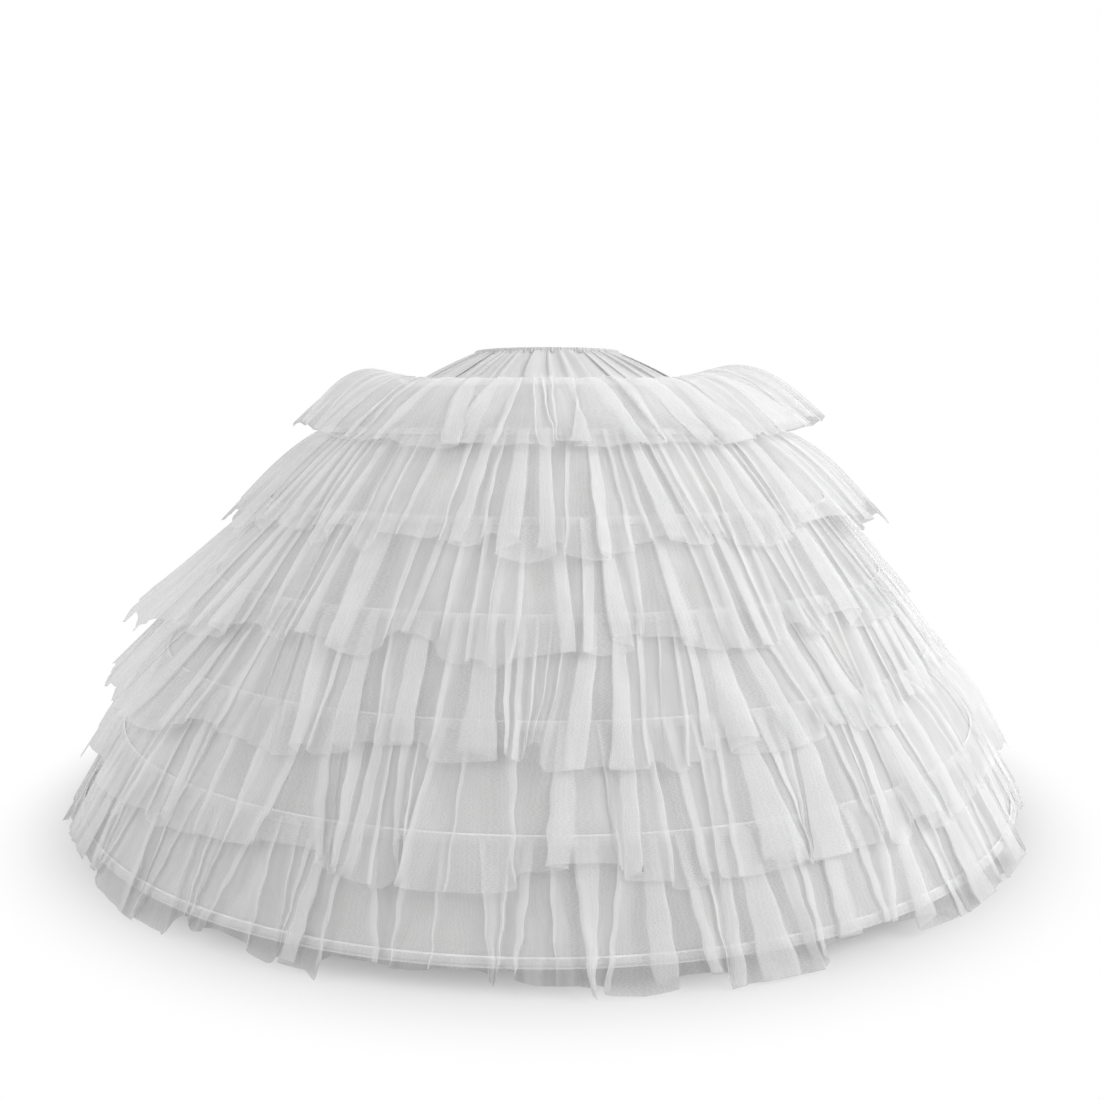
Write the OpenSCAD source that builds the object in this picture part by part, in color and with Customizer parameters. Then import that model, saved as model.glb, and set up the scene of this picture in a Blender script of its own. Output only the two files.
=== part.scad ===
// Ruffled hoop petticoat: an elasticated waist, a gathered yoke and a dome of
// lining tiers held out by flat steel hoops, covered by gathered tulle ruffles.
// Millimetres, +Z up. The origin is on the waist's axis at the level of the hem.
// The front faces -Y, and each hoop's join is at the back, towards +Y.

/* [Waist] */
// Inner diameter of the elasticated waist opening
waist_diameter = 236; // [200:1:320]
// Width of the elastic tape, which sets the height of the casing around it
elastic_width = 8; // [4:0.5:20]
// Thickness of the elastic tape
elastic_thickness = 1.6; // [0.8:0.1:3]

/* [Yoke] */
// Diameter of the seam between the yoke and the lining
yoke_diameter = 480; // [380:5:560]
// Drop from the top of the waist to that seam
yoke_drop = 62; // [45:1:90]
// Folds around the yoke in each quarter
yoke_folds_per_quarter = 10; // [6:1:14]
// Height of the yoke's folds at its middle
yoke_fold_height = 4; // [1.5:0.5:6]

/* [Dome] */
// Diameter of the lining at the hem hoop
hem_hoop_diameter = 1552; // [1300:10:1800]
// Drop from the top of the waist to the first hoop
first_hoop_drop = 134; // [110:1:170]
// Height between one hoop and the next
hoop_spacing = 116; // [90:1:140]
// Height of the hem hoop above the hem
hem_fall = 31; // [22:1:60]
// Roundness of the dome: a small value swells near the waist, 1 is a plain cone
dome_power = 0.58; // [0.45:0.01:0.8]
// How far each lining tier sinks in between its hoops
lining_sag = 3; // [0:0.5:6]

/* [Hoops] */
// Width of the flat steel hoop
hoop_width = 7; // [4:0.5:12]
// Thickness of the flat steel hoop
hoop_thickness = 1; // [0.6:0.1:2]
// Gap between the two ends of a hoop, inside its joiner
hoop_end_gap = 2; // [1:0.5:6]
// Length of the sleeve that joins a hoop's ends
joiner_length = 45; // [25:1:80]
// Wall of that sleeve
joiner_wall = 0.5; // [0.3:0.1:1]

/* [Cloth] */
// Thickness of the lining, the yoke and the casings' walls
lining_thickness = 1; // [0.6:0.1:1.4]
// Thickness of a tulle ruffle
tulle_thickness = 1; // [0.6:0.1:1.4]
// Seam allowance of a hoop casing on each side of its channel
casing_allowance = 2; // [1:0.5:4]

/* [Ruffles] */
// How far each ruffle falls past the hoop below its heading, along the slope
ruffle_overlap = 55; // [40:1:70]
// How far each ruffle's lower edge stands off the lining
ruffle_stand_off = 26; // [24:0.5:34]
// How far the lowest ruffle's edge stands out past the hem hoop
hem_flare = 35; // [34:0.5:50]
// Distance from fold to fold at a ruffle's lower edge
fold_pitch = 58; // [50:1:120]
// Height of the folds at a ruffle's heading
heading_fold_height = 1.5; // [0.5:0.1:2]
// Height of the folds halfway down a ruffle
middle_fold_height = 6; // [3:0.5:7]
// Height of the folds at a ruffle's lower edge
edge_fold_height = 8; // [4:0.5:9]
// How far the top ruffle puffs up over the straight line to its edge
top_ruffle_puff = 12; // [0:1:20]

/* [Hidden] */
hoop_count = 6;
$fn = 96;
// Room between sewn pieces, and between a hoop and its joiner
sewing_gap = 0.3;
sliding_gap = 0.1;
// Room under a ruffle's heading, which dives towards the casing's lower flank
heading_gap = 0.6;
// The smallest fold compared with the largest, and how much fold widths vary
least_fold = 0.6;
fold_width_spread = 0.35;
// Where the middle row of folds lies along a ruffle and along the yoke
ruffle_middle = 0.5;
top_ruffle_middle = 0.35;
yoke_middle = 0.45;
// Fold height at the yoke's two edges
yoke_edge_fold_height = 1;
// How far below the yoke's seam the top ruffle is sewn
top_heading_inset = 2;

waist_radius = waist_diameter / 2;
waist_casing_height = elastic_width + 2 * (sewing_gap + lining_thickness);
waist_casing_depth = elastic_thickness + 2 * (sewing_gap + lining_thickness);
waist_top = hem_fall + (hoop_count - 1) * hoop_spacing + first_hoop_drop;
dome_drop = waist_top - hem_fall;

joiner_width = hoop_width + 2 * (sliding_gap + joiner_wall);
joiner_thickness = hoop_thickness + 2 * (sliding_gap + joiner_wall);
channel_width = joiner_width + 2 * sewing_gap;
channel_thickness = joiner_thickness + 2 * sewing_gap;
casing_width = channel_width + 2 * casing_allowance;
casing_thickness = channel_thickness + lining_thickness;
// Half of the straight strip of lining that each casing is sewn to
casing_land = casing_width / 2 + 1;
// Height of a casing's middle and of its outer face above the lining's middle
casing_level = lining_thickness / 2 + sewing_gap + casing_thickness / 2;
casing_face = casing_level + casing_thickness / 2;
heading_room = heading_gap + heading_fold_height + tulle_thickness / 2;

// Points and directions in the half plane of radius and height

function unit(v) = v / norm(v);
// The direction that points outwards from a line running down and out
function outward(v) = [-v[1], v[0]];
function angle_of(v) = atan2(v[1], v[0]);
function total(list) = list * [for (x = list) 1];
function running(list) = [for (i = 0, sum = 0; i < len(list); sum = sum + list[i], i = i + 1) sum];

yoke_seam = [yoke_diameter / 2, waist_top - yoke_drop];

// Where hoop k crosses the lining, with the yoke's seam as hoop 0
function hoop_drop(k) = first_hoop_drop + (k - 1) * hoop_spacing;
function hoop_radius(k) =
    waist_radius + (hem_hoop_diameter / 2 - waist_radius) * pow(hoop_drop(k) / dome_drop, dome_power);
function hoop_point(k) = k == 0 ? yoke_seam : [hoop_radius(k), waist_top - hoop_drop(k)];

// The lining's direction at hoop k, halfway between the tiers above and below
function tier_slope(k) = unit(hoop_point(k) - hoop_point(k - 1));
function slope(k) =
    k == 0 ? tier_slope(1) :
    k == hoop_count ? tier_slope(k) : unit(tier_slope(k) + tier_slope(k + 1));

// A line of points given a thickness, as one closed outline
function line_normal(line, i) =
    unit((i > 0 ? outward(unit(line[i] - line[i - 1])) : [0, 0])
       + (i < len(line) - 1 ? outward(unit(line[i + 1] - line[i])) : [0, 0]));
function thick_line(line, thickness) = concat(
    [for (i = [0:len(line) - 1]) line[i] + line_normal(line, i) * thickness / 2],
    [for (i = [len(line) - 1:-1:0]) line[i] - line_normal(line, i) * thickness / 2]
);

// Folds: their angles and heights for one quarter, repeated around the ring

function fold_angles(points, seed) =
    let (widths = rands(1 - fold_width_spread, 1 + fold_width_spread, points, seed),
         places = running(widths * (90 / total(widths))))
    [for (quarter = [0:3], place = places) 90 * quarter + place];
function fold_heights(points, seed) =
    let (heights = rands(least_fold, 1, points, seed))
    [for (quarter = [0:3], i = [0:points - 1])
        (i % 2 == 0 ? 1 : -1) * (i == 0 ? 1 : heights[i])];

// A ring of folded cloth. Each row is [point, direction of the folds, fold height],
// from the top edge to the lower edge.
module gathered_ring(rows, folds_per_quarter, thickness, seed) {
    points_per_quarter = 2 * folds_per_quarter;
    around = 4 * points_per_quarter;
    angles = fold_angles(points_per_quarter, seed);
    heights = fold_heights(points_per_quarter, seed + 1);
    last = len(rows) - 1;
    function at(side, row, j) = (side * len(rows) + row) * around + j % around;
    function patch(a, b, c, d) = [[a, b, c], [a, c, d]];
    points = [for (side = [0.5, -0.5], row = rows, j = [0:around - 1])
        let (off = row[2] * heights[j] + side * thickness,
             p = row[0] + row[1] * off)
        [p[0] * cos(angles[j]), p[0] * sin(angles[j]), p[1]]];
    faces = [for (j = [0:around - 1]) each concat(
        [for (i = [0:last - 1]) each
            patch(at(0, i, j), at(0, i, j + 1), at(0, i + 1, j + 1), at(0, i + 1, j))],
        [for (i = [0:last - 1]) each
            patch(at(1, i, j), at(1, i + 1, j), at(1, i + 1, j + 1), at(1, i, j + 1))],
        patch(at(1, 0, j), at(1, 0, j + 1), at(0, 0, j + 1), at(0, 0, j)),
        patch(at(0, last, j), at(0, last, j + 1), at(1, last, j + 1), at(1, last, j))
    )];
    polyhedron(points, faces);
}

// The waist

module waist_ring(depth, height) {
    rotate_extrude()
        translate([waist_radius + waist_casing_depth / 2, waist_top - waist_casing_height / 2])
            square([depth, height], center = true);
}

module waist_casing() {
    color("whitesmoke")
        difference() {
            waist_ring(waist_casing_depth, waist_casing_height);
            waist_ring(elastic_thickness + 2 * sewing_gap, elastic_width + 2 * sewing_gap);
        }
}

module waist_elastic() {
    color("ivory") waist_ring(elastic_thickness, elastic_width);
}

// The gathered yoke, from under the waist casing to its seam with the lining
module yoke() {
    top = [waist_radius + waist_casing_depth / 2, waist_top - waist_casing_height
        - sewing_gap - yoke_edge_fold_height - lining_thickness / 2];
    way = unit(yoke_seam - top);
    seam_end = yoke_seam - way * (sewing_gap + lining_thickness / 2);
    middle = top + (seam_end - top) * yoke_middle;
    color("whitesmoke")
        gathered_ring([
            [top, outward(way), yoke_edge_fold_height],
            [middle, outward(way), yoke_fold_height],
            [seam_end, outward(way), yoke_edge_fold_height]
        ], yoke_folds_per_quarter, lining_thickness, 11);
}

// The dome of lining tiers

module lining_tier(k) {
    start = hoop_point(k - 1);
    end = hoop_point(k);
    land_start = start + slope(k - 1) * casing_land;
    land_end = end - slope(k) * casing_land;
    sunk = (land_start + land_end) / 2 - outward(tier_slope(k)) * lining_sag;
    lower_edge = k == hoop_count ? end + slope(k) * casing_land : end - slope(k) * sewing_gap / 2;
    line = [start + slope(k - 1) * sewing_gap / 2, land_start, sunk, land_end, lower_edge];
    color("white") rotate_extrude() polygon(thick_line(line, lining_thickness));
}

// A section set on hoop k's line, with its width along the slope
module on_hoop(k) {
    place = hoop_point(k) + outward(slope(k)) * casing_level;
    translate(place) rotate(angle_of(slope(k))) children();
}

// A flat channel whose edges thin out towards the seams
module channel_section(width, thickness) {
    polygon([
        for (side = [-1, 1]) each [
            [side * width / 2, 0],
            [side * (width - thickness) / 2, side * thickness / 2],
            [-side * (width - thickness) / 2, side * thickness / 2]
        ]
    ]);
}

module hoop_casing(k) {
    color("white")
        rotate_extrude() on_hoop(k)
            difference() {
                channel_section(casing_width, casing_thickness);
                square([channel_width, channel_thickness], center = true);
            }
}

function hoop_angle(k, length) = length / hoop_radius(k) * 180 / PI;

module hoop(k) {
    gap = hoop_angle(k, hoop_end_gap);
    color("silver")
        rotate([0, 0, 90 + gap / 2]) rotate_extrude(angle = 360 - gap)
            on_hoop(k) square([hoop_width, hoop_thickness], center = true);
}

module hoop_joiner(k) {
    span = hoop_angle(k, joiner_length);
    color("gray")
        rotate([0, 0, 90 - span / 2]) rotate_extrude(angle = span)
            on_hoop(k) difference() {
                square([joiner_width, joiner_thickness], center = true);
                square([hoop_width + 2 * sliding_gap, hoop_thickness + 2 * sliding_gap], center = true);
            }
}

// The ruffles: each heading is sewn over the casing above, the first one just below the yoke's seam

function heading_point(k) =
    k == 1 ? yoke_seam + slope(0) * top_heading_inset + outward(slope(0)) * (lining_thickness / 2 + heading_room)
           : hoop_point(k - 1) + outward(slope(k - 1)) * (casing_face + heading_room);
function edge_point(k) =
    k == hoop_count ? [hoop_radius(k) + hem_flare, 0]
                    : hoop_point(k) + slope(k) * ruffle_overlap + outward(slope(k)) * ruffle_stand_off;

module ruffle(k) {
    heading = heading_point(k);
    edge = edge_point(k);
    way = outward(unit(edge - heading));
    middle = heading + (edge - heading) * (k == 1 ? top_ruffle_middle : ruffle_middle)
        + way * (k == 1 ? top_ruffle_puff : 0);
    edge_way = k == hoop_count ? [1, 0] : way;
    folds_per_quarter = round(2 * PI * edge[0] / (4 * fold_pitch));
    color("white")
        gathered_ring([
            [heading, outward(slope(k - 1)), heading_fold_height],
            [middle, way, middle_fold_height],
            [edge, edge_way, edge_fold_height]
        ], folds_per_quarter, tulle_thickness, 20 + 2 * k);
}

waist_casing();
waist_elastic();
yoke();
for (k = [1:hoop_count]) {
    lining_tier(k);
    hoop_casing(k);
    hoop(k);
    hoop_joiner(k);
    ruffle(k);
}
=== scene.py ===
"""The looks of a ruffled hoop petticoat, in metres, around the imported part."""
import math

import bpy
import numpy as np
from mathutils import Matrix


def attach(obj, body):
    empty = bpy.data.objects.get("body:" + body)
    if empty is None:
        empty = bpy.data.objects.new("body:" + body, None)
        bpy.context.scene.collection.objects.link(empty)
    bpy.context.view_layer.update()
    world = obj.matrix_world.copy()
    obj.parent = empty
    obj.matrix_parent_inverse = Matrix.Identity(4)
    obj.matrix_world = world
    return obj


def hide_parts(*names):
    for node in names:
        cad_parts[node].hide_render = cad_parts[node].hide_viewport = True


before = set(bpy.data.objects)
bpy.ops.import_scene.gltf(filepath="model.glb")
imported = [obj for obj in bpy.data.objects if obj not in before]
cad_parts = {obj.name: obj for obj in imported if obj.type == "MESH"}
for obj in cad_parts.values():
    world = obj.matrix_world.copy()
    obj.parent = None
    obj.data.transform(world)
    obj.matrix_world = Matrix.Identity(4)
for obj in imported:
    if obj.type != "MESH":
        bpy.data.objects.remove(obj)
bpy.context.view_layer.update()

FULL_TURN = 2.0 * math.pi

# Sizes of the part, as in its source
HOOP_COUNT = 6
WAIST_RADIUS = 0.118
WAIST_CASING_HEIGHT = 0.0106
WAIST_CASING_DEPTH = 0.0042
YOKE_RADIUS = 0.24
YOKE_DROP = 0.062
HEM_HOOP_RADIUS = 0.776
FIRST_HOOP_DROP = 0.134
HOOP_SPACING = 0.116
HEM_FALL = 0.031
DOME_POWER = 0.58
LINING_SAG = 0.003
CASING_WIDTH = 0.0128
CASING_FACE = 0.0046
HEM_FLARE = 0.035

WAIST_TOP = HEM_FALL + (HOOP_COUNT - 1) * HOOP_SPACING + FIRST_HOOP_DROP
DOME_DROP = WAIST_TOP - HEM_FALL

# The camera, found from the rings of the hem, the ruffles and the waist
PHOTO_PIXELS = 1100
SENSOR = 36.0
FOCAL_PIXELS = 1100.0
CAMERA_ASIDE = 0.004
CAMERA_DISTANCE = 1.933
CAMERA_HEIGHT = 0.637
CAMERA_PITCH = math.radians(7.048)

# Light: lamps by name, place, size and power, all aimed at one point on the waist's axis
LAMP_AIM = (0.0, 0.0, 0.4)
LAMPS = [("key", (3.4, -1.3, 2.6), 3.0, 168.0),
         ("fill", (-3.2, -1.2, 2.5), 3.0, 88.0),
         ("back", (0.6, 3.4, 2.6), 2.6, 70.0)]
AMBIENT_LIGHT = 0.4
# Layers of net that a ray may pass
NET_LAYERS = 24

# Background: white where it is seen directly, and darker where it is seen through the net
SKY_BEHIND_NET = 0.45
FLOOR_BEHIND_NET = 0.3
FLOOR_SIZE = 60.0
FLOOR_DROP = 0.001
# The floor shows its shadow near the hem, with little white in it, and is all white further out
SHADOW_RADIUS = 0.64
WHITE_RADIUS = 0.93
SHADOW_WHITE = 0.05

# How gathered folds vary around a ring
FOLD_WIDTH_SPREAD = 0.4
TUCK_CHANGE = 0.08
LARGEST_TUCK = 0.62
# Share of the folds that lie to the other side
LEAN_SHARE = 0.5
# How far a fold strays aside at its edge, compared with the narrower of two neighbours, and halfway down
FOLD_STRAY = 0.4
MIDDLE_FOLLOWS = 0.5
MIDDLE_STRAY = 0.1
# Where a fold rises to its crest and falls from it, as shares of its width
CREST_RISE = (0.12, 0.8)
CREST_FALL = (0.82, 1.0)
# Whole numbers of waves around a ring for each kind of unevenness
SLANT_WAVES = (7, 11, 17, 26, 39)
KINK_WAVES = (19, 23, 29, 34, 41, 47)
CRINKLE_WAVES = (31, 43, 57, 72, 86)
SWAY_WAVES = (5, 8, 13, 21, 34)
CRUMPLE_WAVES = (37, 53, 71, 89, 113, 140)
# Strength of kinks and crinkles compared with the slant, and how fast each changes down the sheet
KINK_SHARE = 0.15
KINK_LEAN = 6.0
CRINKLE_SHARE = 0.07
CRINKLE_LEAN = 26.0

# Folds of each ruffle, lowest and highest at its heading, middle and edge: how far they tuck under and
# how far they stand out
RUFFLE_TUCK = [(0.28, 0.55), (0.22, 0.6), (0.14, 0.6)]
RUFFLE_LIFT = [(0.001, 0.003), (0.002, 0.006), (0.002, 0.008)]
RUFFLE_SEED = 100
RUFFLE_ROWS = 17
RUFFLE_FOLD_COLUMNS = 14
RUFFLE_FOLD_PITCH = 0.036
TOP_FOLD_PITCH = 0.042
RUFFLE_SLANT = 0.024
RUFFLE_SWAY = 0.003
RUFFLE_CRUMPLE = 0.0014
RUFFLE_PUFF = 0.003
TOP_RUFFLE_PUFF = 0.022
# Powers below 1 bring a puff's crest nearer to the heading
PUFF_POWER = 0.5
FLAP_PUFF_POWER = 0.7
HEADING_STAND = 0.0006
TOP_HEADING_DROP = 0.002
TOP_HEADING_STAND = 0.001
# Fall of a ruffle past the hoop below it, along the slope, before its edge is made uneven
RUFFLE_OVERLAP = 0.047
EDGE_STAND = 0.016
HEM_EDGE_INSET = 0.008
# Unevenness of the lower edges, as a share of a ruffle's length
EDGE_TRIM = 0.08
TOP_EDGE_TRIM = 0.032
# The hem is uneven by panels of several folds, with a share of each fold's own unevenness
HEM_TRIM = 0.11
HEM_FOLD_SHARE = 0.4
HEM_PANEL_FOLDS = 4
# Flaps that stand out further than the rest of a ruffle: ruffle, angle in degrees, extra fall, extra flare
# and how far the middle of the ruffle is puffed out there
FLAPS = [(1, 190.0, -0.006, 0.03, 0.03), (1, 350.0, 0.034, 0.06, 0.035), (2, 196.0, 0.004, 0.02, 0.01),
         (2, 344.0, 0.024, 0.036, 0.02), (3, 199.0, 0.075, 0.055, 0.0), (4, 204.0, 0.036, 0.042, 0.0),
         (5, 208.0, 0.0, 0.02, 0.006), (5, 338.0, 0.0, 0.016, 0.014)]
FLAP_SPREAD = math.radians(24.0)
# A flap has few gathers: how far around, and the share of them that is gone
CALM_SPREAD = math.radians(13.0)
CALM_SHARE = 0.9

# Folds of the yoke, as for the ruffles
YOKE_TUCK = [(0.1, 0.2), (0.1, 0.28), (0.05, 0.2)]
YOKE_LIFT = [(0.001, 0.0025), (0.002, 0.006), (0.001, 0.002)]
YOKE_SEED = 7
YOKE_FOLDS = 46
YOKE_ROWS = 21
YOKE_FOLD_COLUMNS = 22
YOKE_TOP_INSET = 0.0004
YOKE_TOP_DROP = 0.0035
YOKE_SEAM_LAP = 0.004
YOKE_SINK = 0.0015
YOKE_RUCHE = 0.0006
YOKE_RUCHE_WAVES = (90, 117, 143, 171)

# Waist casing, ruched over the elastic
WAIST_SEED = 3
WAIST_COLUMNS = 720
WAIST_INNER_GAP = 0.0002
WAIST_RUCHE = 0.0022
WAIST_RUCHE_WAVES = (46, 64, 81, 97, 118)
WAIST_RUCHE_LIFT = 0.5
WAIST_RUCHE_POWER = 0.7
# The ruching starts where this range of values, spread over the strip's rows, passes 0
WAIST_RUCHE_RANGE = (-0.6, 1.0)
WAIST_WOBBLE = 0.0003
WAIST_WOBBLE_WAVES = (52, 73, 96)
WAIST_WOBBLE_ROOM = 0.0004

# Lining tiers and hoop casings
RING_COLUMNS = 480
LINING_SEED = 40
LINING_ROWS = 9
LINING_RIPPLE = 0.0016
LINING_WAVES = (24, 37, 55, 71, 88)
CASING_SEED = 60
CASING_ROWS = 9
# Height of a casing's sewn edges, and where it rises from them over the hoop, from its middle outwards
CASING_SEAM = 0.0012
CASING_SHOULDER = (0.55, 0.85)
CASING_PUCKER = 0.0003
PUCKER_WAVES = (150, 170, 190, 210)
# Width of the flat tape compared with the casing, because it rises over the hoop
CASING_FULLNESS = 1.2
# Where the tape is doubled, from its middle outwards, as shares of its width
DOUBLED_EDGE = (0.3, 0.38)

# Net drawn at 2 mm a cell: the real 1.2 mm cells are too fine to show
NET_CELL = 0.002
THREAD_COVER = 0.46
HOLE_COVER = 0.38
CREASE_COVER = 0.16
NET_GLOW = 0.35
CREASE_RELIEF = 0.003
# Crushed creases about 22 mm wide and 200 mm long, and patches of shade about 70 mm wide, as counts to a
# metre
CREASES_ACROSS = 45.0
CREASES_DOWN = 5.0
NET_CLOUDS = 14.0
# The net is drawn together less towards a ruffle's free edge: where this starts and ends, measured
# from the heading, and the share of the cover that is left at the edge
LOOSE_FROM = 0.12
LOOSE_TO = 0.19
LOOSE_COVER = 0.68

# A wave texture repeats after this length at scale 1
WAVE_REPEAT = math.pi / 10.0
# Threads drawn 1.4 mm apart: the real ones, about 0.2 mm apart, are too fine to show
LINING_THREAD = 0.0013823
ELASTIC_RIB = 0.00075398
STITCH_LENGTH = 0.00188496
STITCH_RELIEF = 0.0006
# Height of the weave's bumps compared with the threads' spacing
WEAVE_RELIEF = 1.5915
# Patches of shade about 110 mm wide in woven cloth, and specks about 2.5 mm wide in steel, as counts to a
# metre
WEAVE_CLOUDS = 9.0
STEEL_SPECKS = 400.0


# Points and directions in the half plane of radius and height


def unit(way):
    return way / np.linalg.norm(way)


def outward(way):
    return np.array([-way[1], way[0]])


def hoop_point(k):
    """Where hoop k crosses the lining, with the yoke's seam as hoop 0."""
    if k == 0:
        return np.array([YOKE_RADIUS, WAIST_TOP - YOKE_DROP])
    drop = FIRST_HOOP_DROP + (k - 1) * HOOP_SPACING
    radius = WAIST_RADIUS + (HEM_HOOP_RADIUS - WAIST_RADIUS) * (drop / DOME_DROP) ** DOME_POWER
    return np.array([radius, WAIST_TOP - drop])


def tier_slope(k):
    return unit(hoop_point(k) - hoop_point(k - 1))


def slope(k):
    if k == 0:
        return tier_slope(1)
    if k == HOOP_COUNT:
        return tier_slope(k)
    return unit(tier_slope(k) + tier_slope(k + 1))


def ease(low, high, value):
    """0 below low, 1 above high and smooth between."""
    share = np.clip((value - low) / (high - low), 0.0, 1.0)
    return share * share * (3.0 - 2.0 * share)


def ripple(rng, turn, waves, strength):
    """A smooth random wave around the ring, from a few whole numbers of waves."""
    total = np.zeros_like(turn)
    for count in waves:
        total += rng.normal(0.0, 1.0) * np.sin(count * turn + rng.uniform(0.0, FULL_TURN))
    return strength * total / math.sqrt(len(waves))


def bend(rng, turn, down, waves, strength, steepest):
    """A smooth random wave around the ring that also changes down the sheet, so that folds kink."""
    total = np.zeros_like(turn)
    for count in waves:
        lean = rng.uniform(-steepest, steepest)
        total += rng.normal(0.0, 1.0) * np.sin(count * turn + lean * down + rng.uniform(0.0, FULL_TURN))
    return strength * total / math.sqrt(len(waves))


def beside(turn, angle, spread):
    """1 at an angle around the ring, falling smoothly to 0 away from it."""
    aside = np.angle(np.exp(1j * (turn - angle)))
    return np.exp(-(aside / spread) ** 2)


# Sheets


def ring_sheet(name, radius, height, turn, flat, material):
    """An open sheet, closed around the waist's axis, from rows of points, with its flat size as UV."""
    rows, columns = radius.shape
    points = np.stack([radius * np.cos(turn), radius * np.sin(turn), height], axis=-1).reshape(-1, 3)
    row, column = np.meshgrid(np.arange(rows - 1), np.arange(columns), indexing="ij")
    following = (column + 1) % columns
    corners = [row * columns + column, (row + 1) * columns + column,
               (row + 1) * columns + following, row * columns + following]
    faces = np.stack(corners, axis=-1).reshape(-1, 4)
    mesh = bpy.data.meshes.new(name)
    mesh.from_pydata(points.tolist(), [], faces.tolist())
    along = [column, column, column + 1, column + 1]
    down = [row, row + 1, row + 1, row]
    across = np.stack(along, axis=-1).reshape(-1) * (flat[1] / columns)
    fall = np.stack(down, axis=-1).reshape(-1) * (flat[0] / (rows - 1))
    layer = mesh.uv_layers.new(name="Cloth")
    layer.data.foreach_set("uv", np.stack([across, fall], axis=-1).reshape(-1))
    mesh.shade_smooth()
    mesh.materials.append(material)
    piece = bpy.data.objects.new(name, mesh)
    bpy.context.scene.collection.objects.link(piece)
    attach(piece, "root")
    return piece


def developed_length(radius, height, turn):
    """The length of a folded row, halfway down the sheet."""
    middle = radius.shape[0] // 2
    x = radius[middle] * np.cos(turn[middle])
    y = radius[middle] * np.sin(turn[middle])
    points = np.stack([x, y, height[middle]], axis=-1)
    return float(np.linalg.norm(points - np.roll(points, 1, axis=0), axis=1).sum())


def even_turns(rows, columns):
    """Angles spaced evenly around the ring, the same in each row."""
    return np.tile(np.arange(columns) / columns * FULL_TURN, (rows, 1))


def stand_off(line, way, off):
    """Radius and height of points that stand off a line of rows in one direction."""
    return line[:, :1] + way[0] * off, line[:, 1:] + way[1] * off


def gathers(rng, folds, columns):
    """Random folds around a ring: widths and starts as shares of it, and each column's fold and share."""
    widths = np.exp(rng.normal(0.0, FOLD_WIDTH_SPREAD, folds))
    widths = widths / widths.sum()
    starts = np.concatenate([[0.0], np.cumsum(widths)[:-1]])
    fold = np.repeat(np.arange(folds), columns)
    share = np.tile(np.arange(columns) / columns, folds)
    return widths, starts, fold, share


def blend_rows(top, middle, bottom, down):
    """A value for each fold at three heights, joined by a smooth curve down the sheet."""
    at_top = (1.0 - down) * (1.0 - 2.0 * down)
    at_middle = 4.0 * down * (1.0 - down)
    at_bottom = down * (2.0 * down - 1.0)
    return at_top * top + at_middle * middle + at_bottom * bottom


def folded_rows(rng, folds, rows, columns, tuck, lift, slant=0.0, calm=()):
    """Turn and lift of a gathered sheet. tuck and lift give (low, high) at the top, middle and edge.

    A tuck over 0.16 folds the cloth back over itself, so that three layers lie on each other.
    Near the angles in calm the sheet lies nearly flat."""
    widths, starts, fold, share = gathers(rng, folds, columns)
    down = np.linspace(0.0, 1.0, rows)[:, None]
    steady = rng.random(folds)
    tucks = [(low + (high - low) * np.clip(steady + rng.normal(0.0, TUCK_CHANGE, folds), 0.0, 1.0))[fold]
             for low, high in tuck]
    lifts = [rng.uniform(low, high, folds)[fold] for low, high in lift]
    leans = rng.random(folds)[fold] < LEAN_SHARE
    reach = FOLD_STRAY * np.minimum(widths, np.roll(widths, 1))
    edge_move = reach * rng.uniform(-1.0, 1.0, folds)
    middle_move = MIDDLE_FOLLOWS * edge_move + MIDDLE_STRAY * reach * rng.uniform(-1.0, 1.0, folds)
    share_lean = np.where(leans, 1.0 - share, share)
    gathered = np.ones(folds)
    for angle in calm:
        gathered = gathered * (1.0 - CALM_SHARE * beside(FULL_TURN * starts, angle, CALM_SPREAD))
    tuck_now = np.clip(blend_rows(*tucks, down), 0.0, LARGEST_TUCK) * gathered[fold]
    lift_now = np.maximum(blend_rows(*lifts, down), 0.0) * gathered[fold]
    place = share_lean + tuck_now * np.sin(FULL_TURN * share_lean)
    raised = ease(*CREST_RISE, share_lean) * (1.0 - ease(*CREST_FALL, share_lean))
    place = np.where(leans, 1.0 - place, place)
    moved = blend_rows(0.0, middle_move[fold], edge_move[fold], down)
    moved_next = blend_rows(0.0, np.roll(middle_move, -1)[fold], np.roll(edge_move, -1)[fold], down)
    start_now = starts[fold] + moved
    width_now = widths[fold] + moved_next - moved
    turn = FULL_TURN * (start_now + width_now * place)
    turn = turn + ripple(rng, turn, SLANT_WAVES, slant) * down
    turn = turn + bend(rng, turn, down, KINK_WAVES, KINK_SHARE * slant, KINK_LEAN) * down
    crinkles = bend(rng, turn, down, CRINKLE_WAVES, CRINKLE_SHARE * slant, CRINKLE_LEAN)
    turn = turn + crinkles * np.sqrt(down)
    return turn, lift_now * raised, fold, share, down


def uneven_edge(rng, folds, fold, share, spread, panel=1):
    """How much longer the sheet is at each point, from a random value for each panel of folds."""
    longer = np.repeat(rng.normal(0.0, spread, folds), panel)[:folds]
    return longer[fold] * (1.0 - share) + np.roll(longer, -1)[fold] * share


def ruffle_line(k):
    """A ruffle's heading and edge, with the directions in which its folds stand there."""
    over = slope(k - 1)
    if k == 1:
        heading = hoop_point(0) + over * TOP_HEADING_DROP + outward(over) * TOP_HEADING_STAND
    else:
        heading = hoop_point(k - 1) + outward(over) * (CASING_FACE + HEADING_STAND)
    if k == HOOP_COUNT:
        edge = np.array([HEM_HOOP_RADIUS + HEM_FLARE - HEM_EDGE_INSET, 0.0])
    else:
        edge = hoop_point(k) + slope(k) * RUFFLE_OVERLAP + outward(slope(k)) * EDGE_STAND
    return heading, edge, outward(over), outward(unit(edge - heading))


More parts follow.
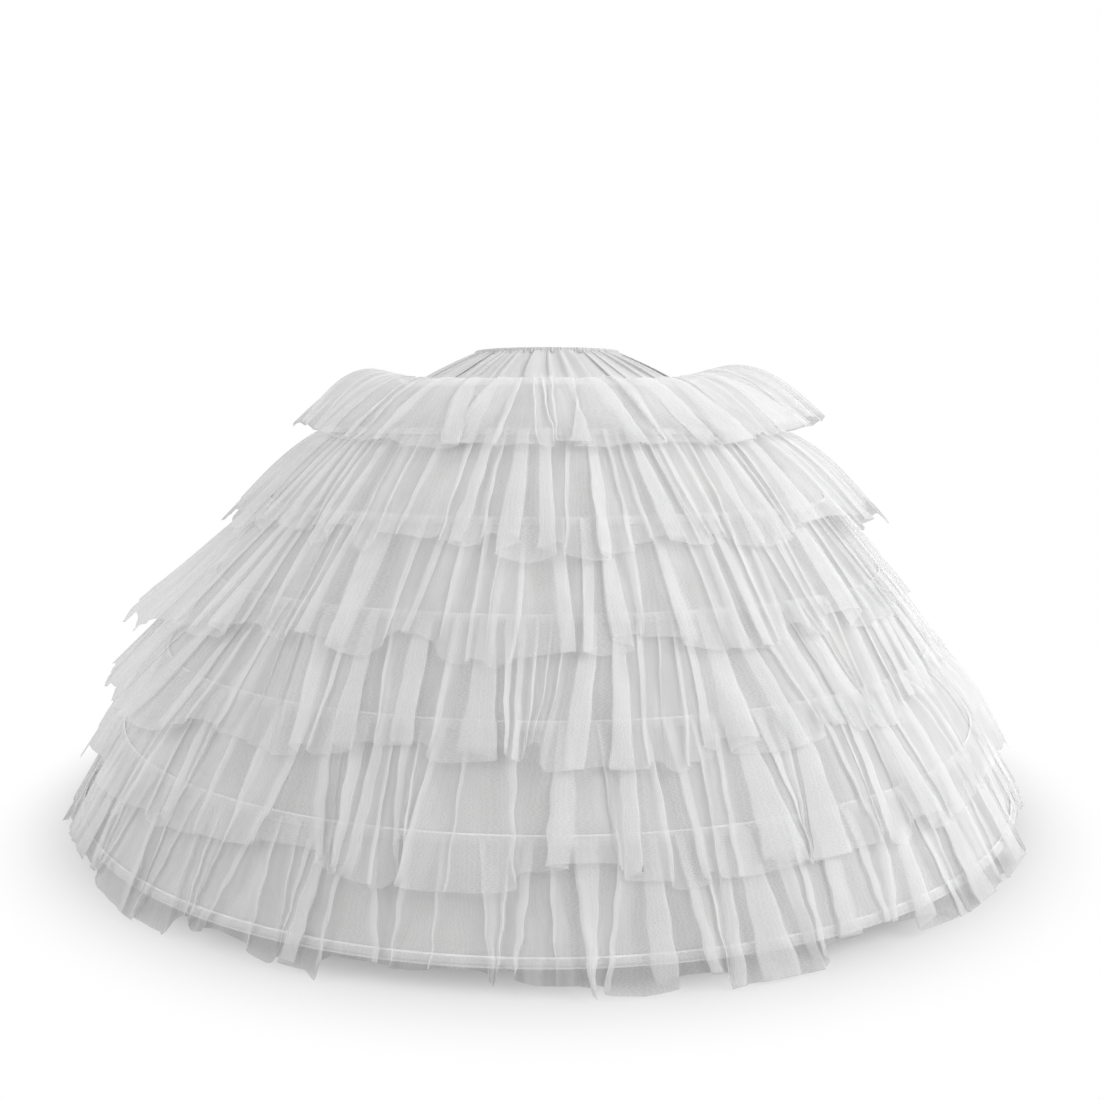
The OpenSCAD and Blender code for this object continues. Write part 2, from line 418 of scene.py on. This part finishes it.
def make_ruffle(k, material):
    """One sheet of tulle, gathered at its heading into knife folds that lie to either side."""
    rng = np.random.default_rng(RUFFLE_SEED + k)
    heading, edge, heading_way, edge_way = ruffle_line(k)
    pitch = TOP_FOLD_PITCH if k == 1 else RUFFLE_FOLD_PITCH
    folds = round(FULL_TURN * edge[0] / pitch)
    calm = [math.radians(angle) for ruffle, angle, _, _, _ in FLAPS if ruffle == k]
    turn, raised, fold, share, down = folded_rows(rng, folds, RUFFLE_ROWS, RUFFLE_FOLD_COLUMNS, RUFFLE_TUCK,
                                                  RUFFLE_LIFT, slant=RUFFLE_SLANT / edge[0], calm=calm)
    way = heading_way * (1.0 - down) + edge_way * down
    way = way / np.linalg.norm(way, axis=1)[:, None]
    puff = TOP_RUFFLE_PUFF if k == 1 else RUFFLE_PUFF
    middle_line = heading + (edge - heading) * down + edge_way * puff * np.sin(math.pi * down ** PUFF_POWER)
    sway = ripple(rng, turn, SWAY_WAVES, RUFFLE_SWAY) * down
    trimmed = uneven_edge(rng, folds, fold, share, TOP_EDGE_TRIM if k == 1 else EDGE_TRIM) * down ** 2
    if k == HOOP_COUNT:
        panels = uneven_edge(rng, folds, fold, share, HEM_TRIM, HEM_PANEL_FOLDS)
        trimmed = -np.abs(panels + HEM_FOLD_SHARE * trimmed) * down ** 2
    length = np.linalg.norm(edge - heading)
    crumple = bend(rng, turn, down, CRUMPLE_WAVES, RUFFLE_CRUMPLE, KINK_LEAN) * down
    off = raised + sway + crumple
    fall = unit(edge - heading)
    extra = trimmed * length
    for ruffle, angle, flap_fall, flap_out, flap_puff in FLAPS:
        if ruffle == k:
            near = beside(turn, math.radians(angle), FLAP_SPREAD)
            extra = extra + flap_fall * near * down
            off = off + flap_out * near * down + flap_puff * near * np.sin(math.pi * down ** FLAP_PUFF_POWER)
    radius = middle_line[:, :1] + way[:, :1] * off + fall[0] * extra
    height = middle_line[:, 1:] + way[:, 1:] * off + fall[1] * extra
    height = np.maximum(height, 0.0)
    flat = (float(length), developed_length(radius, height, turn))
    piece = ring_sheet(f"tulle_ruffle_{k}", radius, height, turn, flat, material)
    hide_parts(f"ruffle_{k}")


def make_yoke(material):
    """Cloth gathered to the waist, with its folds running out to the first ruffle's heading."""
    rng = np.random.default_rng(YOKE_SEED)
    top = np.array([WAIST_RADIUS + WAIST_CASING_DEPTH - YOKE_TOP_INSET, WAIST_TOP - YOKE_TOP_DROP])
    seam = hoop_point(0) + slope(0) * YOKE_SEAM_LAP
    turn, raised, _, _, down = folded_rows(rng, YOKE_FOLDS, YOKE_ROWS, YOKE_FOLD_COLUMNS,
                                           YOKE_TUCK, YOKE_LIFT)
    small = ripple(rng, turn, YOKE_RUCHE_WAVES, YOKE_RUCHE) * (1.0 - down) ** 2
    off = raised - YOKE_SINK + small
    radius, height = stand_off(top + (seam - top) * down, outward(unit(seam - top)), off)
    flat = (float(np.linalg.norm(seam - top)), developed_length(radius, height, turn))
    piece = ring_sheet("gathered_yoke", radius, height, turn, flat, material)
    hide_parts("yoke")


def make_waist_casing(material):
    """A strip folded over the elastic, ruched all around."""
    rng = np.random.default_rng(WAIST_SEED)
    inner = WAIST_RADIUS + WAIST_INNER_GAP
    outer = WAIST_RADIUS + WAIST_CASING_DEPTH
    low = WAIST_TOP - WAIST_CASING_HEIGHT
    # Radius and height of the strip's rows: up the inside, over the top, down the outside and on to the yoke
    path = [(inner, low), (inner, low + 0.003), (inner, low + 0.007), (inner + 0.0005, WAIST_TOP - 0.001),
            (inner + 0.0015, WAIST_TOP), (outer - 0.0018, WAIST_TOP), (outer - 0.0004, WAIST_TOP - 0.0012),
            (outer, low + 0.0072), (outer + 0.001, low + 0.005), (outer + 0.003, low + 0.0025),
            (outer + 0.006, low)]
    path = np.array(path)
    rows = len(path)
    turn = even_turns(rows, WAIST_COLUMNS)
    # 0 on the inside, growing to 1 at the outer edge
    outside = (np.linspace(*WAIST_RUCHE_RANGE, rows)[:, None]).clip(0.0)
    ruche = np.abs(ripple(rng, turn, WAIST_RUCHE_WAVES, WAIST_RUCHE)) * outside ** WAIST_RUCHE_POWER
    wobble = ripple(rng, turn, WAIST_WOBBLE_WAVES, WAIST_WOBBLE)
    radius = path[:, :1] + ruche
    height = path[:, 1:] + (WAIST_RUCHE_LIFT * ruche + wobble) * outside
    height = np.minimum(height, WAIST_TOP + WAIST_WOBBLE_ROOM)
    flat = (2.0 * WAIST_CASING_HEIGHT + WAIST_CASING_DEPTH, developed_length(radius, height, turn))
    piece = ring_sheet("waist_casing_cloth", radius, height, turn, flat, material)
    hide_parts("waist_casing")


def make_lining_tier(k, material):
    """Cloth stretched from one hoop to the next, hanging a little slack between them."""
    rng = np.random.default_rng(LINING_SEED + k)
    turn = even_turns(LINING_ROWS, RING_COLUMNS)
    down = np.linspace(0.0, 1.0, LINING_ROWS)[:, None]
    start = hoop_point(k - 1)
    end = hoop_point(k)
    if k == HOOP_COUNT:
        end = end + slope(k) * CASING_WIDTH / 2.0
    free = np.sin(math.pi * down)
    off = -LINING_SAG * free + ripple(rng, turn, LINING_WAVES, LINING_RIPPLE) * free
    radius, height = stand_off(start + (end - start) * down, outward(tier_slope(k)), off)
    length = float(np.linalg.norm(end - start))
    around = FULL_TURN * float(end[0])
    flat = (length, around)
    piece = ring_sheet(f"lining_cloth_{k}", radius, height, turn, flat, material)
    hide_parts(f"lining_tier_{k}")


def make_casing(k, material):
    """A tape sewn to the lining along both edges, with the hoop under its middle."""
    rng = np.random.default_rng(CASING_SEED + k)
    turn = even_turns(CASING_ROWS, RING_COLUMNS)
    across = np.linspace(-1.0, 1.0, CASING_ROWS)[:, None]
    along = slope(k)
    raised = CASING_SEAM + (CASING_FACE - CASING_SEAM) * (1.0 - ease(*CASING_SHOULDER, np.abs(across)))
    pucker = ripple(rng, turn, PUCKER_WAVES, CASING_PUCKER) * np.abs(across)
    line = hoop_point(k) + along * across * CASING_WIDTH / 2.0
    radius, height = stand_off(line, outward(along), raised + pucker)
    flat = (CASING_WIDTH * CASING_FULLNESS, FULL_TURN * float(hoop_point(k)[0]))
    piece = ring_sheet(f"casing_tape_{k}", radius, height, turn, flat, material)
    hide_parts(f"hoop_casing_{k}")


# Materials


def colour(code):
    """Linear red, green, blue and alpha from an sRGB hex value."""
    parts = [int(code[i:i + 2], 16) / 255.0 for i in (1, 3, 5)]
    linear = [p / 12.92 if p <= 0.04045 else ((p + 0.055) / 1.055) ** 2.4 for p in parts]
    return (*linear, 1.0)


def put(tree, kind, links=None, **settings):
    """Adds a node: settings are its own, links are values or sockets for its inputs."""
    made = tree.nodes.new(kind)
    for name, value in settings.items():
        setattr(made, name, value)
    for name, value in (links or {}).items():
        if isinstance(value, bpy.types.NodeSocket):
            tree.links.new(value, made.inputs[name])
        else:
            made.inputs[name].default_value = value
    return made


def new_material(name):
    made = bpy.data.materials.new(name)
    made.use_nodes = True
    made.node_tree.nodes.clear()
    return made, made.node_tree


def nylon_tulle():
    """Stiff nylon net: matt, white, half see-through, so layers that lie on each other look whiter."""
    made, tree = new_material("nylon_tulle")
    place = put(tree, "ShaderNodeTexCoord")
    cells = put(tree, "ShaderNodeTexVoronoi", {"Vector": place.outputs["UV"], "Scale": 1.0 / NET_CELL,
                "Randomness": 0.8}, voronoi_dimensions="2D", feature="DISTANCE_TO_EDGE")
    threads = put(tree, "ShaderNodeMapRange", {"Value": cells.outputs["Distance"], "From Min": 0.05,
                  "From Max": 0.3, "To Min": THREAD_COVER, "To Max": HOLE_COVER})
    drawn_out = put(tree, "ShaderNodeMapping", {"Vector": place.outputs["UV"],
                    "Scale": (CREASES_ACROSS, CREASES_DOWN, 1.0)})
    creases = put(tree, "ShaderNodeTexNoise", {"Vector": drawn_out.outputs["Vector"], "Scale": 1.0,
                  "Detail": 2.0}, noise_dimensions="2D")
    crushed = put(tree, "ShaderNodeMapRange", {"Value": creases.outputs["Fac"], "From Min": 0.5,
                  "From Max": 0.7, "To Min": 0.0, "To Max": CREASE_COVER})
    cover = put(tree, "ShaderNodeMath", {0: threads.outputs["Result"], 1: crushed.outputs["Result"]},
                operation="ADD")
    flat = put(tree, "ShaderNodeSeparateXYZ", {"Vector": place.outputs["UV"]})
    loose = put(tree, "ShaderNodeMapRange", {"Value": flat.outputs["Y"], "From Min": LOOSE_FROM,
                "From Max": LOOSE_TO, "To Min": 1.0, "To Max": LOOSE_COVER})
    cover = put(tree, "ShaderNodeMath", {0: cover.outputs["Value"], 1: loose.outputs["Result"]},
                operation="MULTIPLY")
    bump = put(tree, "ShaderNodeBump", {"Height": creases.outputs["Fac"], "Strength": 0.35,
               "Distance": CREASE_RELIEF})
    cloud = put(tree, "ShaderNodeTexNoise", {"Vector": place.outputs["UV"], "Scale": NET_CLOUDS,
                "Detail": 3.0})
    tint = put(tree, "ShaderNodeValToRGB", {"Fac": cloud.outputs["Fac"]})
    tint.color_ramp.elements[0].color = colour("#EFEFF0")
    tint.color_ramp.elements[1].color = colour("#FCFCFC")
    cloth = put(tree, "ShaderNodeBsdfPrincipled", {"Base Color": tint.outputs["Color"], "Roughness": 0.8,
                "Specular IOR Level": 0.2, "Sheen Weight": 0.15, "Normal": bump.outputs["Normal"]})
    through = put(tree, "ShaderNodeBsdfTranslucent", {"Color": tint.outputs["Color"]})
    body = put(tree, "ShaderNodeMixShader", {0: NET_GLOW, 1: cloth.outputs["BSDF"],
               2: through.outputs["BSDF"]})
    clear = put(tree, "ShaderNodeBsdfTransparent")
    net = put(tree, "ShaderNodeMixShader", {0: cover.outputs["Value"], 1: clear.outputs["BSDF"],
              2: body.outputs["Shader"]})
    put(tree, "ShaderNodeOutputMaterial", {"Surface": net.outputs["Shader"]})
    return made


def woven_cloth(name, light, dark, thread, roughness, thinness=0.0):
    """Plain polyester weave: a fine over-and-under grain with a soft satin light, which glows where thin."""
    made, tree = new_material(name)
    place = put(tree, "ShaderNodeTexCoord")
    warp = put(tree, "ShaderNodeTexWave", {"Vector": place.outputs["UV"], "Scale": WAVE_REPEAT / thread,
               "Distortion": 0.6}, bands_direction="X")
    weft = put(tree, "ShaderNodeTexWave", {"Vector": place.outputs["UV"], "Scale": WAVE_REPEAT / thread,
               "Distortion": 0.6}, bands_direction="Y")
    grain = put(tree, "ShaderNodeMath", {0: warp.outputs["Fac"], 1: weft.outputs["Fac"]},
                operation="MULTIPLY")
    cloud = put(tree, "ShaderNodeTexNoise", {"Vector": place.outputs["UV"], "Scale": WEAVE_CLOUDS,
                "Detail": 4.0})
    tint = put(tree, "ShaderNodeValToRGB", {"Fac": cloud.outputs["Fac"]})
    tint.color_ramp.elements[0].color = colour(dark)
    tint.color_ramp.elements[1].color = colour(light)
    bump = put(tree, "ShaderNodeBump", {"Height": grain.outputs["Value"], "Strength": 0.25,
               "Distance": WEAVE_RELIEF * thread})
    cloth = put(tree, "ShaderNodeBsdfPrincipled", {"Base Color": tint.outputs["Color"],
                "Roughness": roughness, "Specular IOR Level": 0.3, "Sheen Weight": 0.1,
                "Normal": bump.outputs["Normal"]})
    through = put(tree, "ShaderNodeBsdfTranslucent", {"Color": tint.outputs["Color"]})
    body = put(tree, "ShaderNodeMixShader", {0: thinness, 1: cloth.outputs["BSDF"],
               2: through.outputs["BSDF"]})
    put(tree, "ShaderNodeOutputMaterial", {"Surface": body.outputs["Shader"]})
    return made


def casing_tape(width):
    """Lining cloth folded in along both edges, where it is doubled and whiter, with a row of stitches."""
    made, tree = new_material("casing_tape")
    place = put(tree, "ShaderNodeTexCoord")
    flat = put(tree, "ShaderNodeSeparateXYZ", {"Vector": place.outputs["UV"]})
    off_middle = put(tree, "ShaderNodeMath", {0: flat.outputs["Y"], 1: width / 2.0}, operation="SUBTRACT")
    off_middle = put(tree, "ShaderNodeMath", {0: off_middle.outputs["Value"]}, operation="ABSOLUTE")
    edge = put(tree, "ShaderNodeMapRange", {"Value": off_middle.outputs["Value"],
               "From Min": width * DOUBLED_EDGE[0], "From Max": width * DOUBLED_EDGE[1]})
    tint = put(tree, "ShaderNodeValToRGB", {"Fac": edge.outputs["Result"]})
    tint.color_ramp.elements[0].color = colour("#CFCFCF")
    tint.color_ramp.elements[1].color = colour("#F6F6F6")
    stitches = put(tree, "ShaderNodeTexWave", {"Vector": place.outputs["UV"],
                   "Scale": WAVE_REPEAT / STITCH_LENGTH}, bands_direction="X")
    sewn = put(tree, "ShaderNodeMath", {0: stitches.outputs["Fac"], 1: edge.outputs["Result"]},
               operation="MULTIPLY")
    bump = put(tree, "ShaderNodeBump", {"Height": sewn.outputs["Value"], "Strength": 0.4,
               "Distance": STITCH_RELIEF})
    cloth = put(tree, "ShaderNodeBsdfPrincipled", {"Base Color": tint.outputs["Color"], "Roughness": 0.7,
                "Specular IOR Level": 0.3, "Normal": bump.outputs["Normal"]})
    put(tree, "ShaderNodeOutputMaterial", {"Surface": cloth.outputs["BSDF"]})
    return made


def spring_steel():
    """Rolled steel strip: grey metal, dulled a little in small specks."""
    made, tree = new_material("spring_steel_strip")
    place = put(tree, "ShaderNodeTexCoord")
    specks = put(tree, "ShaderNodeTexNoise", {"Vector": place.outputs["Object"], "Scale": STEEL_SPECKS,
                 "Detail": 2.0})
    dull = put(tree, "ShaderNodeMapRange", {"Value": specks.outputs["Fac"], "To Min": 0.28, "To Max": 0.5})
    steel = put(tree, "ShaderNodeBsdfPrincipled", {"Base Color": colour("#B9BCC0"), "Metallic": 1.0,
                "Roughness": dull.outputs["Result"]})
    put(tree, "ShaderNodeOutputMaterial", {"Surface": steel.outputs["BSDF"]})
    return made


def set_material(node, material):
    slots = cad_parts[node].material_slots
    for place in slots:
        place.material = material


# Floor, light and camera


def sight(tree, behind_net):
    """1 where the background is in sight, also in a mirror or glass, and its share of white there."""
    path = put(tree, "ShaderNodeLightPath")
    seen = put(tree, "ShaderNodeMath", {0: path.outputs["Is Camera Ray"], 1: path.outputs["Is Glossy Ray"]},
               operation="MAXIMUM")
    seen = put(tree, "ShaderNodeMath", {0: seen.outputs["Value"], 1: path.outputs["Is Transmission Ray"]},
               operation="MAXIMUM")
    white = put(tree, "ShaderNodeMapRange", {"Value": path.outputs["Transparent Depth"], "To Min": 1.0,
                "To Max": behind_net})
    return seen.outputs["Value"], white.outputs["Result"]


def white_to_camera(tree, surface):
    """Mixes plain white into what the camera sees of the floor, all white away from the skirt."""
    place = put(tree, "ShaderNodeTexCoord")
    distance = put(tree, "ShaderNodeVectorMath", {0: place.outputs["Object"]}, operation="LENGTH")
    share = put(tree, "ShaderNodeMapRange", {"Value": distance.outputs["Value"], "From Min": SHADOW_RADIUS,
                "From Max": WHITE_RADIUS, "To Min": SHADOW_WHITE, "To Max": 1.0},
                interpolation_type="SMOOTHSTEP")
    seen, behind_net = sight(tree, FLOOR_BEHIND_NET)
    amount = put(tree, "ShaderNodeMath", {0: seen, 1: share.outputs["Result"]}, operation="MULTIPLY")
    amount = put(tree, "ShaderNodeMath", {0: amount.outputs["Value"], 1: behind_net}, operation="MULTIPLY")
    white = put(tree, "ShaderNodeEmission", {"Color": (1.0, 1.0, 1.0, 1.0), "Strength": 1.0})
    mixed = put(tree, "ShaderNodeMixShader", {0: amount.outputs["Value"], 1: surface,
                2: white.outputs["Emission"]})
    return mixed.outputs["Shader"]


def make_floor():
    bpy.ops.object.select_all(action="DESELECT")
    bpy.ops.mesh.primitive_plane_add(size=FLOOR_SIZE, location=(0.0, 0.0, -FLOOR_DROP))
    floor = bpy.context.object
    floor.name = "floor"
    bpy.ops.object.transform_apply(location=True, rotation=False, scale=False)
    made, tree = new_material("pale_floor")
    paint = put(tree, "ShaderNodeBsdfDiffuse", {"Color": colour("#B8B8B8")})
    # From below, the floor is clear, so that the inside of the skirt can be seen
    side = put(tree, "ShaderNodeNewGeometry")
    clear = put(tree, "ShaderNodeBsdfTransparent")
    one_sided = put(tree, "ShaderNodeMixShader", {0: side.outputs["Backfacing"],
                    1: white_to_camera(tree, paint.outputs["BSDF"]), 2: clear.outputs["BSDF"]})
    put(tree, "ShaderNodeOutputMaterial", {"Surface": one_sided.outputs["Shader"]})
    floor.data.materials.append(made)


def make_world():
    world = bpy.data.worlds.new("studio")
    world.use_nodes = True
    tree = world.node_tree
    tree.nodes.clear()
    seen, white = sight(tree, SKY_BEHIND_NET)
    strength = put(tree, "ShaderNodeMapRange", {"Value": seen, "To Min": AMBIENT_LIGHT, "To Max": white})
    sky = put(tree, "ShaderNodeBackground", {"Color": (1.0, 1.0, 1.0, 1.0),
              "Strength": strength.outputs["Result"]})
    put(tree, "ShaderNodeOutputWorld", {"Surface": sky.outputs["Background"]})
    bpy.context.scene.world = world


def add_lamp(name, place, size, power):
    lamp = bpy.data.lights.new(name, "AREA")
    lamp.size = size
    lamp.energy = power
    holder = bpy.data.objects.new(name, lamp)
    bpy.context.scene.collection.objects.link(holder)
    way = np.array(LAMP_AIM) - np.array(place)
    flat_way = math.hypot(way[0], way[1])
    tilt = math.atan2(flat_way, -way[2])
    heading = math.atan2(way[1], way[0]) - math.pi / 2.0
    holder.location = place
    holder.rotation_euler = (tilt, 0.0, heading)


def make_camera():
    lens = bpy.data.cameras.new("camera")
    lens.sensor_width = SENSOR
    lens.sensor_fit = "HORIZONTAL"
    lens.lens = FOCAL_PIXELS / PHOTO_PIXELS * SENSOR
    camera = bpy.data.objects.new("camera", lens)
    camera.location = (CAMERA_ASIDE, -CAMERA_DISTANCE, CAMERA_HEIGHT)
    camera.rotation_euler = (math.pi / 2.0 - CAMERA_PITCH, 0.0, 0.0)
    bpy.context.scene.collection.objects.link(camera)
    bpy.context.scene.camera = camera


make_camera()
make_world()
make_floor()
for lamp_name, lamp_place, lamp_size, lamp_power in LAMPS:
    add_lamp(lamp_name, lamp_place, lamp_size, lamp_power)
bpy.context.scene.view_settings.view_transform = "Standard"
bpy.context.scene.cycles.transparent_max_bounces = NET_LAYERS

tulle = nylon_tulle()
lining = woven_cloth("polyester_lining", light="#E8E8E7", dark="#E0E0DF", thread=LINING_THREAD,
                     roughness=0.62, thinness=0.3)
# The yoke and the waist casing are of the same white cloth as the lining, drawn darker: painted shade that
# tones them down to grey
waist_cloth_painted_shade = woven_cloth("yoke_cloth_painted_shade", light="#DCDCDC", dark="#D0D0D0", thread=LINING_THREAD,
                          roughness=0.6, thinness=0.15)
casing = casing_tape(CASING_WIDTH * CASING_FULLNESS)
elastic = woven_cloth("ribbed_elastic", light="#EDEAE2", dark="#DEDAD0", thread=ELASTIC_RIB, roughness=0.8)
steel = spring_steel()

make_waist_casing(waist_cloth_painted_shade)
make_yoke(waist_cloth_painted_shade)
set_material("waist_elastic", elastic)
for k in range(1, HOOP_COUNT + 1):
    make_lining_tier(k, lining)
    make_casing(k, casing)
    make_ruffle(k, tulle)
    set_material(f"hoop_{k}", steel)
    set_material(f"hoop_joiner_{k}", steel)
